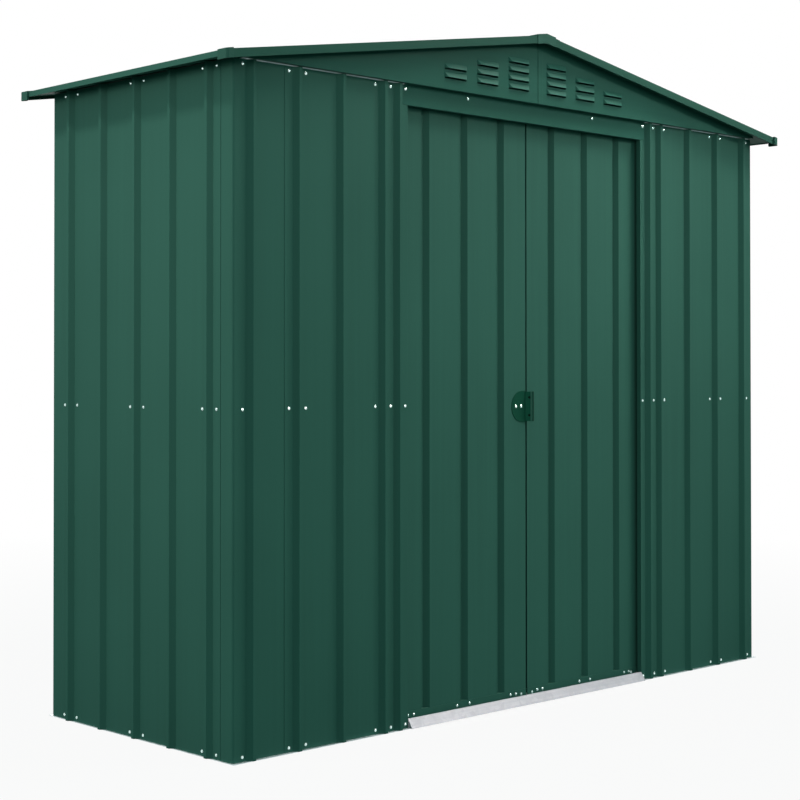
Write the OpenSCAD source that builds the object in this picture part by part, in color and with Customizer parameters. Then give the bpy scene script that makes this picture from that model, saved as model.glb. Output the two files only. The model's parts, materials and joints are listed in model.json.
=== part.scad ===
// Apex metal storage shed with two sliding doors and louvred gables.
// Millimetres. The front faces -Y, +Z is up, and the origin is on the ground
// under the middle of the walls.

/* [Walls] */
// Width of the walls over the flat pans
wall_w = 2260; // [1900:10:2800]
// Depth of the walls over the flat pans
wall_d = 795; // [700:5:1400]
// Height of the wall panels' top edge
wall_top = 1743; // [1600:1:2000]
// Thickness of the sheet
sheet = 1; // [0.8:0.1:1.4]
// Radius of the bend round the corners
corner_r = 6; // [3:0.5:8]

/* [Cladding ribs] */
// Width of a rib at its foot
rib_base = 33; // [26:1:40]
// Width of a rib at its crest
rib_crest = 10; // [6:1:16]
// Height of a wall rib
rib_h = 14; // [8:1:18]
// Distance from a front or back corner to the first rib
corner_rib = 60; // [45:1:75]
// Distance from a side's corner to its first rib
side_rib = 91.5; // [80:0.5:110]
// Reach of a lapped edge past its rib
lap_leg = 28; // [18:1:34]

/* [Frame rails] */
// Thickness of the galvanised rails
rail_t = 1.5; // [1.2:0.1:2]
// Reach of the base rails' lip outside the front and back pans
rail_lip = 10; // [6:1:12]
// Reach of the base rails' lip outside the side pans
side_lip = 5; // [4:1:10]
// Reach of the top rails' lip outside the front and back pans
top_lip = 7; // [5:1:12]
// Reach of the rails' flange inside the pans
rail_in = 25; // [20:1:30]
// Height of the base rails' upright
base_web = 24; // [20:1:28]
// Height of the top rails' upright
top_web = 28; // [20:1:36]
// Height of the upper door track
track_h = 18; // [14:1:22]
// Height of the middle rails' centre line
mid_z = 872; // [700:1:1000]
// Face height of the middle rails
mid_h = 30; // [24:1:40]
// Depth of the middle rails on the sides and back
mid_depth = 16; // [12:1:24]
// Depth of the middle rails on the front, where the doors pass behind
mid_front = 12; // [8:1:14]

/* [Doorway] */
// Clear width between the jambs
door_open = 1034; // [900:2:1100]
// Distance from the last panel rib to the jamb's edge
jamb_w = 94; // [85:1:110]
// Distance from the jamb's own rib to its edge
jamb_rib = 38; // [30:1:42]
// Depth of the jamb's return
jamb_return = 15; // [10:1:17]
// Height of the header plate
header_h = 54.5; // [48:0.5:80]
// Reach of the header over each jamb
header_lap = 19; // [12:0.5:20]
// Run of the sill ramp in front of the wall
sill_run = 16; // [12:1:24]

/* [Doors] */
// Distance from the front pans back to the door face
door_y = 25; // [22:1:34]
// Gap between the closed doors
meet_gap = 5.5; // [5.5:0.5:8]
// Reach of each door behind its jamb
door_lap = 23; // [15:1:40]
// Distance from the meeting line to a door's first groove
door_groove = 113; // [100:1:130]
// Spacing of the door grooves
groove_pitch = 155; // [140:1:160]
// Depth of the door grooves
groove_d = 14; // [8:1:15]
// Height of the doors' lower edge above the ground
door_lift = 10; // [7:1:12]
// Face height of a door's bottom rail
foot_h = 28; // [26:1:36]
// Height of a door's top rail
head_h = 18; // [14:1:20]
// Depth of the door rails
door_rail_d = 23; // [22:1:27]
// Length of a glider
glider_l = 60; // [40:1:80]
// Running clearance between gliders and tracks
glide_gap = 0.35; // [0.25:0.05:0.5]

/* [Handle] */
// Height of the handle's middle
handle_z = 862; // [780:1:1000]
// Radius of the handle's round side
handle_r = 45.5; // [38:0.5:50]
// Reach of the handle plate from the meeting line
handle_reach = 65; // [60:1:75]
// Length of the pull fin from the plate to the middle of its bead
fin_l = 21; // [16:0.5:24]
// Angle between the pull fin and the door in degrees
fin_angle = 50; // [40:1:70]
// Thickness of the pull fin
fin_t = 3; // [2.5:0.1:4]
// Radius of the bead on the fin's free edge
bead_r = 4.5; // [3:0.5:5]
// Thickness of the handle plate
handle_t = 1.5; // [1:0.1:2]
// Radius of the two round recesses in the fin
fin_hole_r = 3.5; // [2.5:0.5:5]
// Distance of those recesses above and below the middle
fin_hole_z = 26; // [20:1:32]

/* [Roof] */
// Slope of the roof in degrees
roof_pitch = 9.11; // [6:0.01:12]
// Reach of the verge trims past the front and back pans
overhang = 56; // [45:1:80]
// Reach of the eave trims past the side pans
eave_over = 64; // [45:1:90]
// Height of a roof rib
roof_rib_h = 10; // [8:1:14]
// Spacing of the roof ribs
roof_rib_pitch = 153; // [140:1:180]
// Drop of the verge trim below the roof sheet
verge_drop = 10; // [6:1:14]
// Width of the verge trim's top
verge_w = 30; // [24:1:40]
// Height of the eave trim's face
eave_h = 15; // [12:1:20]
// Reach of the ridge cap down each slope
ridge_reach = 60; // [45:1:90]
// Half width of the apex caps
apex_half = 40; // [30:1:44]
// Length of the corner caps along the verge
cap_verge = 22; // [20:1:40]
// Length of the corner caps along the eave
cap_eave = 36; // [30:1:48]
// Radius of the corner caps
cap_r = 9; // [6:1:18]
// Reach of the corner caps past the trims
cap_out = 6.5; // [5:0.5:8]
// Thickness of the corner and apex caps
cap_t = 1.5; // [1:0.1:2]
// Width of the ridge beam
beam_w = 40; // [30:1:50]
// Height of the ridge beam
beam_h = 32; // [24:1:40]

/* [Gables] */
// Distance of the gables in front of the pans
gable_out = 22; // [16:1:30]
// Width of the gables' folded flanges
gable_fold = 15; // [10:1:16]
// Width of a louvre
louvre_w = 90; // [70:1:100]
// Height of a louvre hood
louvre_h = 14.5; // [12:0.5:17]
// Depth of a louvre hood
louvre_d = 8; // [5:0.5:10]
// Run of a hood's sloped ends
louvre_end = 10; // [4:0.5:12]
// Height of the open slot below a hood's lip
louvre_slot = 3; // [2:0.5:4]
// Vertical spacing of the louvres
louvre_pitch = 25; // [23:0.5:27]
// Height of the lowest louvre above the gable's foot
louvre_lift = 33; // [28:1:36]
// Distance from the middle to the first louvre column
louvre_first = 84; // [70:1:90]
// Spacing of the louvre columns
louvre_step = 133; // [115:1:140]
// Width of the lap where the gable halves meet
gable_lap = 21; // [12:1:22]

/* [Hidden] */

// Colours of the finishes
paint = "#3a6153";
deep_paint = "#2b5446";
zinc = "#c3c7ca";
nylon = "#2a2d2c";

// Clearances
seat_gap = 0.2;
lap_margin = 2;
roof_lift = 0.3;

// Front wall, measured from its middle
half_w = wall_w / 2;
half_d = wall_d / 2;
jamb_x = door_open / 2;
front_pitch = (half_w - jamb_x - jamb_w - corner_rib) / 3;
front_first = -half_w + corner_rib;
front_lap = front_first + front_pitch;
jamb_lap = front_lap + 2 * front_pitch;
header_half = jamb_x + header_lap;
jamb_leg = jamb_w - jamb_rib - rib_base - lap_margin;

// Back wall: fourteen pitches between the two corner ribs
back_pitch = (wall_w - 2 * corner_rib) / 14;
back_lap = -half_w + corner_rib + back_pitch;
back_panel_ribs = 4;

// Side walls: five ribs
side_pitch = (wall_d - 2 * side_rib) / 4;

// Track and door levels, hung from the top of the walls
track_t = rail_t;
rail_sheet = 1.2;
rail_proud = 1;
fin_up = 12;
track_slot = 12;
track_lip = 8;
head_gap = 7;
header_z = wall_top - header_h;
fin_y = door_y + door_rail_d / 2 - rail_proud;
fin_top = door_lift + fin_up;
track_half = track_slot / 2 + track_lip;
track_front_in = fin_y + track_half + rail_t;
track_lip_z = wall_top - track_h;
door_foot_top = door_lift + foot_h;
door_head_top = track_lip_z - head_gap;
door_head_z = door_head_top - head_h;
door_left = -(jamb_x + door_lap);
door_right = -meet_gap / 2;
glider_x = [door_right - glider_l, door_left + glider_l];
fin_inset = 1.25;
fin_margin = 2.5;
recess_depth = 2;
recess_at = 0.6;
rail_end = corner_r + seat_gap;
jamb_foot = base_web + seat_gap;
jamb_head = wall_top - top_web - seat_gap;

// Roof levels: the sheet's underside passes through ridge_z over the middle
slope = tan(roof_pitch);
run = cos(roof_pitch);
rise = sin(roof_pitch);
top_face = wall_top + rail_t;
ridge_z = top_face + roof_lift + (half_w + rib_h) * slope;
eave_x = half_w + eave_over;
verge_y = half_d + overhang;
roof_crest = sheet + roof_rib_h;
trim_level = roof_crest + seat_gap;
roof_l = (eave_x - sheet - roof_crest * rise) / run;
ridge_gap = 3;
gable_y = half_d + gable_out;
gable_inset = 20;
gable_tip = half_w - gable_inset;
gable_seam = 0.6;
eave_top = ridge_z - eave_x * slope + (trim_level + sheet) / run;
cap_down = 1;
cap_low = -verge_drop / run - cap_down;
cap_high = (trim_level + sheet) / run + seat_gap;
verge_stop = 4;

function under_roof(x) = ridge_z - abs(x) * slope;
function gable_top(x) = under_roof(x) - seat_gap;

// Folded sheet: an outer path and the same path moved over by the thickness
function turn_left(a, b) = let (d = (b - a) / norm(b - a)) [-d[1], d[0]];
function moved(p, t) = [for (i = [0:len(p) - 1])
    i == 0 ? p[0] + t * turn_left(p[0], p[1])
    : i == len(p) - 1 ? p[i] + t * turn_left(p[i - 1], p[i])
    : let (a = turn_left(p[i - 1], p[i]), b = turn_left(p[i], p[i + 1])) p[i] + t * (a + b) / (1 + a * b)];
function backwards(p) = [for (i = [len(p) - 1:-1:0]) p[i]];
module folded(path, t) {
    polygon(concat(path, backwards(moved(path, t))));
}

// Wall profiles lie in X and Y, with the outside toward -Y
foot_run = sheet * (rib_base - rib_crest) / 2 / rib_h;
function rib(x) = [[x - rib_base / 2, 0], [x - rib_crest / 2, -rib_h],
                   [x + rib_crest / 2, -rib_h], [x + rib_base / 2, 0]];
function lap_right(x, leg = lap_leg) = [
    [x - rib_base / 2, 0], [x - rib_crest / 2, -rib_h], [x + rib_crest / 2, -rib_h],
    [x + rib_base / 2 - foot_run, -sheet], [x + rib_base / 2 + leg, -sheet]];
function lap_left(x) = backwards([for (p = lap_right(0)) [x - p[0], p[1]]]);
function under_lap(x) = x + rib_base / 2 + lap_margin;
function join(lists) = [for (l = lists) for (p = l) p];

module wall_sheet(path) {
    translate([0, 0, rail_t]) linear_extrude(wall_top - rail_t) folded(path, sheet);
}
module at_front() { translate([0, -half_d, 0]) children(); }
module at_back() { rotate([0, 0, 180]) translate([0, -half_d, 0]) children(); }
module at_left() { rotate([0, 0, -90]) translate([0, -half_w, 0]) children(); }
module mirrored_x() { mirror([1, 0, 0]) children(); }
module mirrored_y() { mirror([0, 1, 0]) children(); }

// A section drawn in Y and Z, drawn out along X between two places
module along_x(x0, x1) {
    translate([x0, 0, 0]) rotate([90, 0, 90]) linear_extrude(x1 - x0) children();
}
// A section drawn in X and Z, drawn out along Y between two places
module along_y(y0, y1) {
    translate([0, y1, 0]) rotate([90, 0, 0]) linear_extrude(y1 - y0) children();
}
// A section drawn across the right slope, drawn out down the slope
module down_slope(s0, s1) {
    translate([0, 0, ridge_z]) rotate([0, roof_pitch, 0]) along_x(s0, s1) children();
}

// Base frame
module base_rail(lip, flange, web) {
    translate([-flange, -lip, 0]) cube([2 * flange, lip + rail_in, rail_t]);
    translate([-web, sheet, rail_t]) cube([2 * web, rail_t, base_web - rail_t]);
}
module base_long() { color(zinc) at_front() base_rail(rail_lip, half_w + side_lip, half_w - rail_end); }
module base_short() { color(zinc) at_left() base_rail(side_lip, half_d - rail_in, half_d - rail_end); }
module base_rail_front() { base_long(); }
module base_rail_back() { mirrored_y() base_long(); }
module base_rail_left() { base_short(); }
module base_rail_right() { mirrored_x() base_short(); }

module door_sill() {
    hook = sheet + rail_t + seat_gap;
    sill_hook = 6;
    crown = base_web + seat_gap + sheet;
    toe = sheet * sill_run / norm([sill_run, crown]);
    color(zinc) at_front() along_x(-jamb_x + seat_gap, jamb_x - seat_gap)
        folded([[hook + sheet, base_web - sill_hook], [hook + sheet, crown], [0, crown], [-sill_run, toe]], sheet);
}

module lower_door_track() {
    color(zinc) at_front() along_x(-half_w + rail_in, half_w - rail_in) {
        polygon([[rail_in, 0], [track_front_in, 0], [track_front_in, track_t],
                 [fin_y + track_t / 2, track_t], [fin_y + track_t / 2, fin_top],
                 [fin_y - track_t / 2, fin_top], [fin_y - track_t / 2, track_t], [rail_in, track_t]]);
    }
}

// Wall cladding
corner_bend = [for (a = [180:22.5:270])
    [-half_w + corner_r, -half_d + corner_r] + corner_r * [cos(a), sin(a)]];
module corner_panel(lap) {
    color(paint) wall_sheet(join([
        [[-half_w, -half_d + side_rib - rib_base / 2 - lap_margin]], corner_bend,
        [for (p = rib(front_first)) p + [0, -half_d]],
        [[lap - rib_base / 2 - lap_margin, -half_d]]]));
}
module front_left_corner() { corner_panel(front_lap); }
module front_right_corner() { mirrored_x() corner_panel(front_lap); }
module back_left_corner() { mirrored_y() corner_panel(back_lap); }
module back_right_corner() { mirrored_x() mirrored_y() corner_panel(back_lap); }

module front_left_panel() {
    color(paint) at_front() wall_sheet(join([
        lap_left(front_lap), rib(front_lap + front_pitch), lap_right(jamb_lap, jamb_leg)]));
}
module front_right_panel() { mirrored_x() front_left_panel(); }

module door_jamb_left() {
    color(paint) at_front() {
        wall_sheet(join([[[under_lap(jamb_lap), 0]], rib(-jamb_x - jamb_rib), [[-jamb_x, 0]]]));
        translate([-jamb_x - sheet, sheet, jamb_foot])
            cube([sheet, jamb_return - sheet, jamb_head - jamb_foot]);
    }
}
module door_jamb_right() { mirrored_x() door_jamb_left(); }

module door_header() {
    header_top = top_face - seat_gap;
    color(paint) at_front() {
        along_x(-header_half, header_half)
            polygon([[-sheet, header_z], [0, header_z], [0, header_top], [-sheet, header_top]]);
        along_x(-jamb_x + seat_gap, jamb_x - seat_gap)
            polygon([[0, header_z], [jamb_return, header_z],
                     [jamb_return, header_z + sheet], [0, header_z + sheet]]);
    }
}

module left_panel_front() {
    color(paint) at_left() wall_sheet(join([
        lap_left(0), rib(side_pitch), lap_right(2 * side_pitch)]));
}
module left_panel_back() {
    color(paint) at_left() wall_sheet(join([
        lap_left(-2 * side_pitch), rib(-side_pitch), [[-under_lap(0), 0]]]));
}
module right_panel_front() { mirrored_x() left_panel_front(); }
module right_panel_back() { mirrored_x() left_panel_back(); }

// Back panels, counted from the left as seen from behind
function back_rib(k) = back_lap + k * back_pitch;
function back_ribs(k0) = join([for (k = [1:back_panel_ribs - 1]) rib(back_rib(k0 + k))]);
module back_panel_right() {
    color(paint) at_back() wall_sheet(join([
        lap_left(back_rib(0)), back_ribs(0), lap_right(back_rib(back_panel_ribs))]));
}
module back_panel_middle() {
    color(paint) at_back() wall_sheet(join([
        [[under_lap(back_rib(back_panel_ribs)), 0]], back_ribs(back_panel_ribs),
        lap_right(back_rib(2 * back_panel_ribs))]));
}
module back_panel_left() {
    color(paint) at_back() wall_sheet(join([
        [[under_lap(back_rib(2 * back_panel_ribs)), 0]], back_ribs(2 * back_panel_ribs),
        lap_right(back_rib(3 * back_panel_ribs))]));
}

// Middle rails: channels against the inside of the pans
module mid_section(depth) {
    low = mid_z - mid_h / 2;
    high = mid_z + mid_h / 2;
    folded([[sheet + depth, high], [sheet, high], [sheet, low], [sheet + depth, low]], rail_sheet);
}
module mid_rail_left() {
    color(zinc) at_left() along_x(-half_d + sheet + mid_depth, half_d - sheet - mid_front) mid_section(mid_depth);
}
module mid_rail_right() { mirrored_x() mid_rail_left(); }
module mid_rail_back() {
    color(zinc) at_back() along_x(-half_w + rail_end, half_w - rail_end) mid_section(mid_depth);
}
module mid_rail_front_half() {
    at_front() along_x(-half_w + rail_end, -jamb_x - sheet) mid_section(mid_front);
}
module mid_rails_front() {
    color(zinc) {
        mid_rail_front_half();
        mirrored_x() mid_rail_front_half();
    }
}

// Top frame: angles inside the pans, with a lip over the front and back ones
module top_section(inner) {
    polygon([[sheet, wall_top - top_web], [sheet + rail_t, wall_top - top_web], [sheet + rail_t, wall_top],
             [inner, wall_top], [inner, top_face], [sheet, top_face]]);
}
module top_lip_section() {
    polygon([[-top_lip, wall_top], [sheet, wall_top], [sheet, top_face], [-top_lip, top_face]]);
}
module top_rail_front() {
    color(zinc) at_front() {
        along_x(-half_w + rail_in, half_w - rail_in) top_section(track_front_in);
        along_x(-half_w + rail_in, -header_half - seat_gap) top_lip_section();
        along_x(header_half + seat_gap, half_w - rail_in) top_lip_section();
    }
}
module top_rail_back() {
    color(zinc) at_back() along_x(-half_w + rail_in, half_w - rail_in) {
        top_section(rail_in);
        top_lip_section();
    }
}
module top_rail_left() {
    color(zinc) at_left() along_x(-half_d + rail_end, half_d - rail_end) top_section(rail_in);
}
module top_rail_right() { mirrored_x() top_rail_left(); }

module upper_door_track() {
    color(zinc) at_front() along_x(-half_w + rail_in, half_w - rail_in)
        folded([[fin_y - track_slot / 2, track_lip_z], [fin_y - track_half, track_lip_z],
                [fin_y - track_half, wall_top], [fin_y + track_half, wall_top],
                [fin_y + track_half, track_lip_z], [fin_y + track_slot / 2, track_lip_z]], -track_t);
}

// Gables
// A wedge with sloped ends, standing out from the gable's face over its open foot
module wedge(w, h, d, foot) {
    intersection() {
        along_x(-w / 2, w / 2) polygon([[0, -foot], [0, h], [-d, 0], [-d, -foot]]);
        translate([0, 0, -foot]) linear_extrude(h + foot)
            polygon([[-w / 2, 0], [w / 2, 0], [w / 2 - louvre_end * d / louvre_d, -d],
                     [-w / 2 + louvre_end * d / louvre_d, -d]]);
    }
}
hood_share = 1 - sheet * norm([louvre_h, louvre_d]) / (louvre_h * louvre_d);
hood_open = louvre_w - 2 * sheet * norm([louvre_end, louvre_d]) / louvre_d;
module louvre_hood() {
    difference() {
        wedge(louvre_w, louvre_h, louvre_d, 0);
        wedge(hood_open, louvre_h * hood_share, louvre_d * hood_share, sheet);
    }
}
module louvres() {
    for (column = [0:2]) for (row = [0:3 - column])
        translate([louvre_first + column * louvre_step, -gable_y, top_face + louvre_lift + row * louvre_pitch])
            children();
}
module gable_half() {
    seam = gable_seam;
    inner = -gable_y + sheet;
    difference() {
        along_y(-gable_y, inner)
            polygon([[seam, top_face], [gable_tip, top_face], [gable_tip, gable_top(gable_tip)],
                     [seam, gable_top(seam)]]);
        louvres() translate([-hood_open / 2, -sheet, -louvre_slot])
            cube([hood_open, 3 * sheet, louvre_slot + louvre_h / 2]);
    }
    louvres() louvre_hood();
    along_y(inner, -half_d + rail_lip)
        polygon([[seam, top_face], [gable_tip, top_face],
                 [gable_tip, top_face + sheet], [seam, top_face + sheet]]);
    along_y(inner, inner + gable_fold)
        polygon([[seam, top_face], [seam + sheet, top_face], [seam + sheet, gable_top(seam + sheet)],
                 [seam, gable_top(seam)]]);
    along_y(inner, inner + gable_fold)
        polygon([[seam, gable_top(seam) - sheet], [gable_tip, gable_top(gable_tip) - sheet],
                 [gable_tip, gable_top(gable_tip)], [seam, gable_top(seam)]]);
}
module gable_strip() {
    along_y(-gable_y - sheet, -gable_y)
        polygon([[gable_seam, top_face], [gable_lap, top_face], [gable_lap, gable_top(gable_lap)],
                 [gable_seam, gable_top(gable_seam)]]);
}
module front_gable_right() {
    color(paint) {
        gable_half();
        gable_strip();
    }
}
module front_gable_left() { color(paint) mirrored_x() gable_half(); }
module back_gable_right() { mirrored_y() front_gable_right(); }
module back_gable_left() { mirrored_y() front_gable_left(); }

// Roof
module ridge_beam() {
    reach = gable_y - sheet - gable_fold;
    top = under_roof(beam_w / 2) - seat_gap;
    color(zinc) along_y(-reach, reach)
        folded([[beam_w / 2, top - beam_h], [beam_w / 2, top], [-beam_w / 2, top], [-beam_w / 2, top - beam_h]],
               rail_t);
}

roof_half = verge_y - sheet;
roof_ribs = floor((roof_half - verge_w - rib_base) / roof_rib_pitch);
module roof_panel_right() {
    outline = join([[[-roof_half, sheet]],
        [for (k = [-roof_ribs:roof_ribs]) for (p = rib(k * roof_rib_pitch))
            [p[0], sheet - p[1] * roof_rib_h / rib_h]],
        [[roof_half, sheet]]]);
    color(paint) down_slope(ridge_gap, roof_l) folded(backwards(outline), sheet);
}
module roof_panel_left() { mirrored_x() roof_panel_right(); }

module ridge_cap() {
    level = ridge_z + (trim_level + 2 * sheet + seat_gap) / run;
    edge = ridge_reach * run;
    color(paint) along_y(-verge_y, verge_y)
        folded([[edge, level - edge * slope], [0, level], [-edge, level - edge * slope]], sheet);
}

module eave_trim_right() {
    back_in = verge_w;
    color(paint) along_y(-verge_y + verge_w, verge_y - verge_w)
        folded([[eave_x - back_in, eave_top + back_in * slope], [eave_x, eave_top], [eave_x, eave_top - eave_h]],
               -sheet);
}
module eave_trim_left() { mirrored_x() eave_trim_right(); }

module verge_trim() {
    level = trim_level + sheet;
    down_slope(ridge_gap, roof_l - verge_stop)
        folded([[-verge_y + verge_w - seat_gap, sheet], [-verge_y + verge_w - seat_gap, level],
                [-verge_y, level], [-verge_y, -verge_drop]], sheet);
}
module verge_trims_front() {
    color(paint) {
        verge_trim();
        mirrored_x() verge_trim();
    }
}
module verge_trims_back() { mirrored_y() verge_trims_front(); }

module cap_band(low, high) {
    x0 = eave_x - cap_verge;
    x1 = eave_x + 2 * cap_out;
    along_y(-verge_y - 2 * cap_out, -verge_y + cap_eave)
        polygon([[x0, under_roof(x0) + low], [x1, under_roof(x1) + low],
                 [x1, under_roof(x1) + high], [x0, under_roof(x0) + high]]);
}
module corner_cap() {
    x = eave_x + cap_out;
    y = -verge_y - cap_out;
    arc = [for (a = [0:15:90]) [x - cap_r + cap_r * cos(a), y + cap_r - cap_r * sin(a)]];
    outline = join([[[eave_x + seat_gap, y + cap_eave], [x, y + cap_eave]], arc,
                    [[x - cap_verge, y], [x - cap_verge, -verge_y - seat_gap]]]);
    intersection() {
        translate([0, 0, wall_top / 2]) linear_extrude(wall_top) folded(outline, -cap_t);
        cap_band(cap_low, cap_high + cap_t);
    }
    intersection() {
        translate([0, 0, wall_top / 2]) linear_extrude(wall_top)
            polygon(join([[[x, y + cap_eave]], arc, [[x - cap_verge, y], [x - cap_verge, y + cap_eave]]]));
        cap_band(cap_high, cap_high + cap_t);
    }
}
module roof_corner_caps() {
    color(deep_paint) for (sx = [0, 1]) for (sy = [0, 1])
        mirror([sx, 0, 0]) mirror([0, sy, 0]) corner_cap();
}

module apex_cap() {
    low = ridge_z - verge_drop - 2;
    top = ridge_z + (trim_level + 3 * sheet + 2 * seat_gap) / run;
    drop = apex_half * slope;
    along_y(-verge_y - seat_gap - cap_t, -verge_y - seat_gap)
        polygon([[-apex_half, low - drop], [0, low], [apex_half, low - drop],
                 [apex_half, top - drop + cap_t], [0, top + cap_t], [-apex_half, top - drop + cap_t]]);
    along_y(-verge_y - seat_gap, -verge_y + verge_w)
        polygon([[-apex_half, top - drop], [0, top], [apex_half, top - drop],
                 [apex_half, top - drop + cap_t], [0, top + cap_t], [-apex_half, top - drop + cap_t]]);
}
module apex_caps() {
    color(deep_paint) {
        apex_cap();
        mirrored_y() apex_cap();
    }
}

// Sliding doors
function groove(x) = [for (p = rib(x)) [p[0], door_y - p[1] * groove_d / rib_h]];
module left_door_panel() {
    fold = groove_d;
    path = join([[[door_left, door_y + fold], [door_left, door_y]],
                 groove(-door_groove - 2 * groove_pitch), groove(-door_groove - groove_pitch), groove(-door_groove),
                 [[door_right, door_y], [door_right, door_y + fold]]]);
    color(paint) at_front() translate([0, 0, door_foot_top])
        linear_extrude(door_head_z - door_foot_top) folded(path, sheet);
}
module right_door_panel() { mirrored_x() left_door_panel(); }

module left_door_rails() {
    front = door_y - rail_proud;
    back = front + door_rail_d;
    color(paint) at_front() along_x(door_left, door_right) {
        folded([[back, door_lift], [back, door_foot_top], [front, door_foot_top], [front, door_lift]], rail_sheet);
        folded([[front, door_head_top], [front, door_head_z], [back, door_head_z], [back, door_head_top]],
               rail_sheet);
    }
}
module right_door_rails() { mirrored_x() left_door_rails(); }

glider_wide = door_rail_d - 2 * (rail_sheet + seat_gap);
module foot_glider() {
    slot = track_t + 2 * glide_gap;
    foot_room = 2;
    slot_room = 3;
    low = door_lift + foot_room;
    high = door_foot_top - rail_sheet;
    along_x(-glider_l / 2, glider_l / 2) translate([fin_y, 0])
        polygon([[-glider_wide / 2, low], [-slot / 2, low], [-slot / 2, fin_top + slot_room],
                 [slot / 2, fin_top + slot_room], [slot / 2, low], [glider_wide / 2, low],
                 [glider_wide / 2, high], [-glider_wide / 2, high]]);
}
module head_glider() {
    side_room = 2;
    shoe_room = 4;
    neck = track_slot - 2 * side_room;
    shoe = 2 * (track_half - track_t) - 2 * side_room;
    low = door_head_z + rail_sheet;
    seat = track_lip_z + track_t + glide_gap;
    shoe_top = wall_top - track_t - shoe_room;
    along_x(-glider_l / 2, glider_l / 2) translate([fin_y, 0])
        polygon([[-glider_wide / 2, low], [glider_wide / 2, low], [glider_wide / 2, door_head_top],
                 [neck / 2, door_head_top], [neck / 2, seat], [shoe / 2, seat], [shoe / 2, shoe_top],
                 [-shoe / 2, shoe_top], [-shoe / 2, seat], [-neck / 2, seat], [-neck / 2, door_head_top],
                 [-glider_wide / 2, door_head_top]]);
}
module left_door_gliders() {
    color(nylon) at_front() for (x = glider_x) translate([x, 0, 0]) {
        foot_glider();
        head_glider();
    }
}
module right_door_gliders() { mirrored_x() left_door_gliders(); }

module left_door_handle() {
    right = door_right - fin_inset;
    middle = -handle_reach + handle_r;
    half = handle_r - fin_margin;
    out = [cos(fin_angle), -sin(fin_angle)];
    foot = fin_t / sin(fin_angle);
    front = [right - foot, -handle_t];
    back = [right, -handle_t];
    color(deep_paint) at_front() translate([0, door_y, handle_z]) {
        intersection() {
            translate([middle, 0, 0]) rotate([90, 0, 0]) cylinder(h = handle_t, r = handle_r, $fn = 96);
            translate([-handle_reach, -handle_t, -handle_r]) cube([handle_r, handle_t, 2 * handle_r]);
        }
        translate([middle, -handle_t, -handle_r]) cube([right - middle, handle_t, 2 * handle_r]);
        difference() {
            translate([0, 0, -half]) linear_extrude(2 * half) union() {
                polygon([front, front + fin_l * out, back + fin_l * out, back]);
                translate((front + back) / 2 + fin_l * out) circle(r = bead_r, $fn = 48);
            }
            for (z = [-fin_hole_z, fin_hole_z])
                translate(concat(front + recess_at * fin_l * out, z)) rotate([90, 0, -fin_angle])
                    translate([0, 0, -recess_depth]) cylinder(h = recess_depth + fin_t, r = fin_hole_r, $fn = 48);
        }
    }
}

base_rail_front();
base_rail_back();
base_rail_left();
base_rail_right();
door_sill();
lower_door_track();
front_left_corner();
front_right_corner();
back_left_corner();
back_right_corner();
front_left_panel();
front_right_panel();
door_jamb_left();
door_jamb_right();
door_header();
left_panel_front();
left_panel_back();
right_panel_front();
right_panel_back();
back_panel_left();
back_panel_middle();
back_panel_right();
mid_rail_left();
mid_rail_right();
mid_rail_back();
mid_rails_front();
top_rail_front();
top_rail_back();
top_rail_left();
top_rail_right();
upper_door_track();
front_gable_left();
front_gable_right();
back_gable_left();
back_gable_right();
ridge_beam();
roof_panel_left();
roof_panel_right();
ridge_cap();
eave_trim_left();
eave_trim_right();
verge_trims_front();
verge_trims_back();
roof_corner_caps();
apex_caps();
left_door_panel();
left_door_rails();
left_door_gliders();
left_door_handle();
right_door_panel();
right_door_rails();
right_door_gliders();
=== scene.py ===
"""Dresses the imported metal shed: baked green paint, bare zinc, screws, and a plain studio round it."""

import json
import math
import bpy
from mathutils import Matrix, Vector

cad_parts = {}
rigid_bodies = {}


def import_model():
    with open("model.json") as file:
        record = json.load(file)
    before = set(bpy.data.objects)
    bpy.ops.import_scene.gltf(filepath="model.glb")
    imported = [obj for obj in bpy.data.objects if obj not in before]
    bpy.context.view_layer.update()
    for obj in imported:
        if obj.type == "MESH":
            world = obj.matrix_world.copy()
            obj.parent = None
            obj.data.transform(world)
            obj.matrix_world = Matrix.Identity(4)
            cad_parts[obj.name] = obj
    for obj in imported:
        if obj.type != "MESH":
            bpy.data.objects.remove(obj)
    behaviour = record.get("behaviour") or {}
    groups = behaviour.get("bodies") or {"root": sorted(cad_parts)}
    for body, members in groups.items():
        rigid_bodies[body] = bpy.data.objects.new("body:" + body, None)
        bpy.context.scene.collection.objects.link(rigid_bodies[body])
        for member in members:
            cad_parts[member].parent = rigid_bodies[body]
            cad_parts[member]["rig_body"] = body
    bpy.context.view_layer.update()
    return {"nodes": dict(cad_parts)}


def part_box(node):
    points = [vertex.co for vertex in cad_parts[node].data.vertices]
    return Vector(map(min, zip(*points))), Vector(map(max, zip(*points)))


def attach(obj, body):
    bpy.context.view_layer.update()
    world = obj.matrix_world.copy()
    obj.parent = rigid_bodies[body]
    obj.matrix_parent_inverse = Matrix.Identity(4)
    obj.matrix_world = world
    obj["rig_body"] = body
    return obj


bl_info = {
    "name": "Apex Metal Shed",
    "version": (1, 0, 0),
    "blender": (4, 5, 0),
    "location": "View3D > Sidebar > Shed",
    "description": "Paints the packed shed, drives its screws and sets a studio round it",
    "category": "Object",
}

import bmesh
import bpy
from bpy.props import FloatProperty, FloatVectorProperty, IntProperty, PointerProperty
from bpy.types import Operator, Panel, PropertyGroup
from mathutils import Matrix, Vector

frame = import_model()
NODES = frame["nodes"]

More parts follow.
